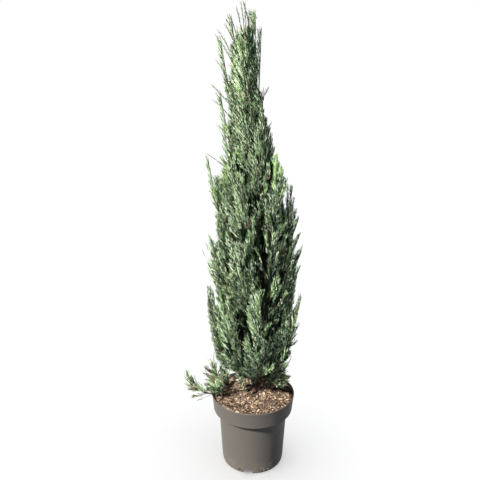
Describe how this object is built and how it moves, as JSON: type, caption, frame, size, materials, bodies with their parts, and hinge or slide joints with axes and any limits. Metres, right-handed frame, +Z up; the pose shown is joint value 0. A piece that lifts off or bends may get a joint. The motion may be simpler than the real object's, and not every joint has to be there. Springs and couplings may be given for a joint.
{
  "type": "potted rocky mountain juniper",
  "caption": "Narrow, column-shaped evergreen juniper with steep blue-green foliage, standing in a stepped plastic nursery pot filled with bark mulch.",
  "frame": {"origin": "centre of the pot's flat underside, on the pot's axis, at floor level", "axes": "+Z up along the pot's axis; -Y is the front; +X is to the right seen from the front, so the long low shoot over the rim points to -X"},
  "size_m": [0.4953, 0.3874, 1.8953],
  "materials": {
    "pot": "matte taupe",
    "mulch": "loose bark chips over soil",
    "bark": "stringy reddish-brown bark",
    "foliage": "matt blue-green scale leaves"
  },
  "bodies": {
    "root": {"bough_left_out": "bark", "bough_left_up": "bark", "bough_right": "bark", "bough_skirt_1": "bark", "bough_skirt_2": "bark", "bough_skirt_3": "bark", "bough_skirt_4": "bark", "bough_skirt_5": "bark", "bough_skirt_6": "bark", "bough_skirt_7": "bark", "mass_crest_1": "foliage", "mass_crest_2": "foliage", "mass_crest_3": "foliage", "mass_high_1": "foliage", "mass_high_2": "foliage", "mass_high_3": "foliage", "mass_high_4": "foliage", "mass_leader": "foliage", "mass_left_out": "foliage", "mass_left_up": "foliage", "mass_low_1": "foliage", "mass_low_2": "foliage", "mass_low_3": "foliage", "mass_low_4": "foliage", "mass_low_5": "foliage", "mass_low_6": "foliage", "mass_middle_1": "foliage", "mass_middle_2": "foliage", "mass_middle_3": "foliage", "mass_middle_4": "foliage", "mass_middle_5": "foliage", "mass_neck_1": "foliage", "mass_neck_2": "foliage", "mass_neck_3": "foliage", "mass_neck_4": "foliage", "mass_right": "foliage", "mass_skirt_1": "foliage", "mass_skirt_2": "foliage", "mass_skirt_3": "foliage", "mass_skirt_4": "foliage", "mass_skirt_5": "foliage", "mass_skirt_6": "foliage", "mass_skirt_7": "foliage", "mass_top_1": "foliage", "mass_top_2": "foliage", "mulch": "mulch", "pot": "pot", "trunk": "bark"}
  },
  "joints": []
}
